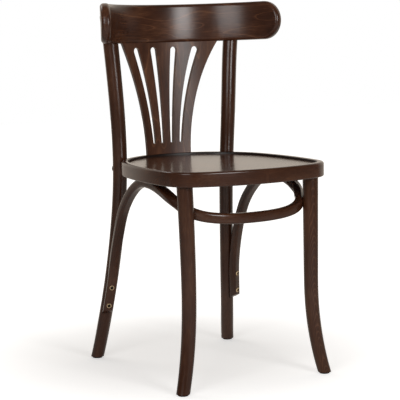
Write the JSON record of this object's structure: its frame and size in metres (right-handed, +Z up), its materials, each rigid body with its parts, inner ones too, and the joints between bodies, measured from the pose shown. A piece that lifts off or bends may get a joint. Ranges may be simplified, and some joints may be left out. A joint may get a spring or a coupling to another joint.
{
  "type": "bentwood chair",
  "caption": "Bentwood dining chair: round bent seat ring with dished-in plywood panel, fan splat with tapered slots, curved crest rail, splayed round legs and a bent hoop stretcher.",
  "frame": {"origin": "on the floor, under the middle of the chair's bounding box", "axes": "+Z up, +X to the sitter's left and across the mirror plane, the sitter faces -Y"},
  "size_m": [0.454, 0.4772, 0.8122],
  "materials": {
    "bent_beech": "dark walnut stain under satin lacquer",
    "moulded_plywood": "dark walnut stain under gloss lacquer",
    "brass": "turned, lightly tarnished",
    "zinc_steel": "zinc plated",
    "glide_plastic": "moulded, fine satin"
  },
  "bodies": {
    "root": {"seat_ring": "bent_beech", "front_leg_left": "bent_beech", "front_leg_right": "bent_beech", "rear_leg_left": "bent_beech", "rear_leg_right": "bent_beech", "crest_rail": "bent_beech", "stretcher_hoop": "bent_beech", "seat_panel": "moulded_plywood", "splat": "moulded_plywood", "cup_washers_left": "brass", "cup_washers_right": "brass", "seat_bolt_left": "zinc_steel", "seat_bolt_right": "zinc_steel", "bolt_washers": "zinc_steel", "bolt_nuts": "zinc_steel", "rear_stretcher_screws_left": "zinc_steel", "rear_stretcher_screws_right": "zinc_steel", "crest_screws_left": "zinc_steel", "crest_screws_right": "zinc_steel", "front_stretcher_screws": "zinc_steel", "ring_stretcher_screws": "zinc_steel", "front_glide_left": "glide_plastic", "front_glide_right": "glide_plastic", "rear_glide_left": "glide_plastic", "rear_glide_right": "glide_plastic"}
  },
  "joints": []
}
